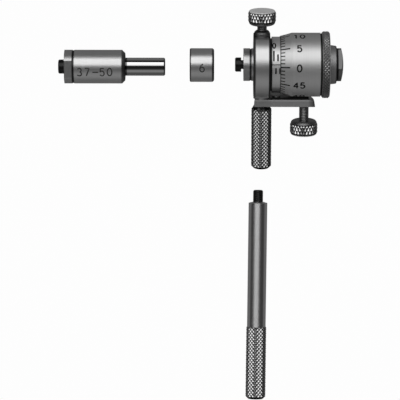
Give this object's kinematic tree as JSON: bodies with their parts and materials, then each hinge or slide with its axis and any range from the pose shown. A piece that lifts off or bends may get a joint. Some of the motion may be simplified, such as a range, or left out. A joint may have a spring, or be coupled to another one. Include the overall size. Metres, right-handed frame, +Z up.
{
  "type": "inside micrometer set",
  "caption": "Inside micrometer set laid out flat: head with scale, thimble, clamp screw, thimble lock and knurled grip, exchangeable rods, spacing collar and screw-on extension handle.",
  "frame": {"origin": "middle of the laid-out set's bounding box, on the table", "axes": "+X along the spindle from the long rod to the anvil, +Y from the handle to the clamp knob, +Z up from the table"},
  "size_m": [0.07, 0.0972, 0.0165],
  "materials": {
    "satin_chrome": "satin",
    "ground_steel": "ground and polished",
    "black_steel": "blackened, hardened",
    "brass": "machined"
  },
  "bodies": {
    "frame": {"ring_frame": "satin_chrome", "sleeve": "satin_chrome", "threaded_core": "ground_steel", "lock_arm": "satin_chrome", "lock_leaf": "black_steel", "leaf_rivet": "ground_steel", "grip": "satin_chrome", "short_rod": "satin_chrome", "short_rod_nut": "satin_chrome", "short_rod_tip": "black_steel", "long_rod": "satin_chrome", "long_rod_nut": "satin_chrome", "long_rod_tip": "black_steel", "spacing_collar": "satin_chrome", "extension_handle": "satin_chrome", "handle_stud": "black_steel"},
    "nut_tube": {"nut_tube": "ground_steel"},
    "thimble": {"thimble": "satin_chrome", "thimble_cap": "satin_chrome", "end_anvil": "ground_steel"},
    "clamp_pad": {"clamp_pad": "brass"},
    "clamp_screw": {"clamp_screw": "satin_chrome"},
    "lock_pad": {"lock_pad": "brass"},
    "lock_screw": {"lock_screw": "satin_chrome"}
  },
  "joints": [
    {"name": "nut_travel", "type": "slide", "parent": "frame", "child": "nut_tube", "axis": [1, 0, 0], "range_m": [-0.00151, 0.0055]},
    {"name": "thimble_turn", "type": "hinge", "parent": "nut_tube", "child": "thimble", "pos_m": [0.01509, 0.03471, 0.00825], "axis": [1, 0, 0], "range_deg": [-1080, 3950]},
    {"name": "clamp_pad_travel", "type": "slide", "parent": "frame", "child": "clamp_pad", "axis": [0, 0.9739, 0.2272], "range_m": [0, 0.0009]},
    {"name": "clamp_screw_turn", "type": "hinge", "parent": "clamp_pad", "child": "clamp_screw", "pos_m": [0.01509, 0.03471, 0.00825], "axis": [0, 0.9739, 0.2272], "range_deg": [0, 720]},
    {"name": "lock_pad_travel", "type": "slide", "parent": "frame", "child": "lock_pad", "axis": [0, -0.9739, -0.2272], "range_m": [0, 0.0009]},
    {"name": "lock_screw_turn", "type": "hinge", "parent": "lock_pad", "child": "lock_screw", "pos_m": [0.02554, 0.03471, 0.00825], "axis": [0, -0.9739, -0.2272], "range_deg": [0, 720]}
  ],
  "couplings": [
    {"joint": "nut_travel", "follows": "thimble_turn", "m_per_rad": 0.000079577},
    {"joint": "clamp_pad_travel", "follows": "clamp_screw_turn", "m_per_rad": 0.0000716},
    {"joint": "lock_pad_travel", "follows": "lock_screw_turn", "m_per_rad": 0.0000716}
  ]
}
